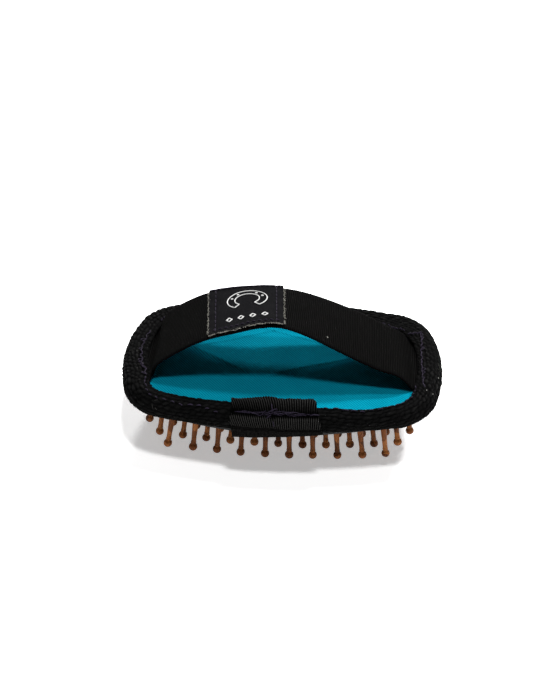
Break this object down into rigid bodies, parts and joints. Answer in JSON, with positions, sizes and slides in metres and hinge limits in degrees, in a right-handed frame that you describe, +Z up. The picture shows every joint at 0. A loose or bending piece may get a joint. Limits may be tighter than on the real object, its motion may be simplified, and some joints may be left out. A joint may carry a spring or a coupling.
{
  "type": "cushioned pin grooming brush",
  "caption": "Oval palm brush for grooming animals: ball-tipped wooden pins in a domed rubber air cushion under a cloth-covered pad, with a webbing rim and an arched hand strap.",
  "frame": {"origin": "on the floor under the middle of the oval pad; the brush stands on the tips of its middle pins", "axes": "+X along the pad's length, +Z up out of the cloth-covered top, the taped front side faces -Y"},
  "size_m": [0.15, 0.1081, 0.0641],
  "materials": {
    "cushion_rubber": "matte",
    "board": "matte",
    "foam": "matte",
    "teal_twill": "matte",
    "black_webbing": "matte",
    "grosgrain_tape": "satin",
    "strap_grosgrain": "satin",
    "label_cloth": "matte",
    "pale_thread": "matte",
    "purple_thread": "satin",
    "pin_wood": "satin"
  },
  "bodies": {
    "pad": {"rubber_pin_pad": "cushion_rubber", "pin_backing_board": "board", "foam_cushion": "foam", "cover_cloth": "teal_twill", "edge_webbing": "black_webbing", "webbing_joint_tab": "grosgrain_tape", "edge_seam_stitches": "purple_thread", "strap_stitches_left": "purple_thread", "strap_stitches_right": "purple_thread", "tab_stitches": "purple_thread"},
    "strap": {"hand_strap": "strap_grosgrain", "strap_label": "label_cloth", "label_overlock": "pale_thread"},
    "pins_1": {"pin_row_1": "pin_wood"},
    "pins_2": {"pin_row_2": "pin_wood"},
    "pins_3": {"pin_row_3": "pin_wood"},
    "pins_4": {"pin_row_4": "pin_wood"},
    "pins_5": {"pin_row_5": "pin_wood"},
    "pins_6": {"pin_row_6": "pin_wood"},
    "pins_7": {"pin_row_7": "pin_wood"},
    "pins_8": {"pin_row_8": "pin_wood"},
    "pins_9": {"pin_row_9": "pin_wood"}
  },
  "joints": [
    {"name": "strap_press", "type": "slide", "parent": "pad", "child": "strap", "axis": [0, 0, 1], "range_m": [-0.012, 0], "stiffness_N_per_m": 400, "deforming": ["hand_strap"]},
    {"name": "pins_1_push", "type": "slide", "parent": "pad", "child": "pins_1", "axis": [0, 0, 1], "range_m": [0, 0.0015], "stiffness_N_per_m": 200},
    {"name": "pins_2_push", "type": "slide", "parent": "pad", "child": "pins_2", "axis": [0, 0, 1], "range_m": [0, 0.0015], "stiffness_N_per_m": 200},
    {"name": "pins_3_push", "type": "slide", "parent": "pad", "child": "pins_3", "axis": [0, 0, 1], "range_m": [0, 0.0015], "stiffness_N_per_m": 200},
    {"name": "pins_4_push", "type": "slide", "parent": "pad", "child": "pins_4", "axis": [0, 0, 1], "range_m": [0, 0.0015], "stiffness_N_per_m": 200},
    {"name": "pins_5_push", "type": "slide", "parent": "pad", "child": "pins_5", "axis": [0, 0, 1], "range_m": [0, 0.0015], "stiffness_N_per_m": 200},
    {"name": "pins_6_push", "type": "slide", "parent": "pad", "child": "pins_6", "axis": [0, 0, 1], "range_m": [0, 0.0015], "stiffness_N_per_m": 200},
    {"name": "pins_7_push", "type": "slide", "parent": "pad", "child": "pins_7", "axis": [0, 0, 1], "range_m": [0, 0.0015], "stiffness_N_per_m": 200},
    {"name": "pins_8_push", "type": "slide", "parent": "pad", "child": "pins_8", "axis": [0, 0, 1], "range_m": [0, 0.0015], "stiffness_N_per_m": 200},
    {"name": "pins_9_push", "type": "slide", "parent": "pad", "child": "pins_9", "axis": [0, 0, 1], "range_m": [0, 0.0015], "stiffness_N_per_m": 200}
  ]
}
